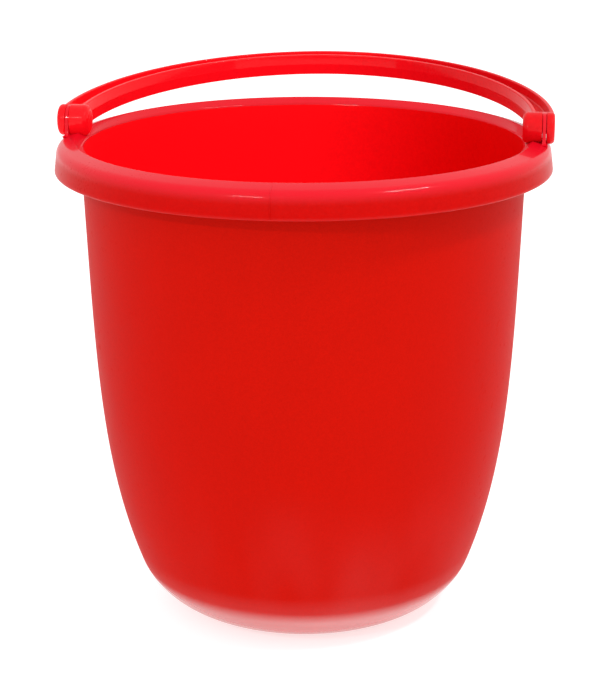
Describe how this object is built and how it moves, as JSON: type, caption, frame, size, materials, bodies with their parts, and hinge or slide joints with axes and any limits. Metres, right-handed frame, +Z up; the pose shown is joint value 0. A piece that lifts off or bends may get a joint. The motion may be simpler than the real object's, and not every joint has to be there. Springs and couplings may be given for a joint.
{
  "type": "wash bucket",
  "caption": "Round moulded plastic wash bucket with an overhanging hollow rim, upright ears and a bail handle that swings from back to front.",
  "frame": {"origin": "centre of the base's flat underside, on the floor", "axes": "+Z up along the bucket's own axis; X along the handle's pivot, through both ears; the handle is laid back over the +Y side"},
  "size_m": [0.3, 0.3189, 0.3226],
  "materials": {
    "bucket_plastic": "red moulded polypropylene, satin wall with a fine soft grain and a glossier rim",
    "handle_plastic": "red moulded polypropylene, glossy"
  },
  "bodies": {
    "bucket": {"bucket_body": "bucket_plastic"},
    "handle": {"bail_handle": "handle_plastic", "pivot_pin_left": "handle_plastic", "pivot_pin_right": "handle_plastic"}
  },
  "joints": [
    {"name": "handle_swing", "type": "hinge", "parent": "bucket", "child": "handle", "pos_m": [0, 0, 0.3027], "axis": [1, 0, 0], "range_deg": [0, 171]}
  ]
}
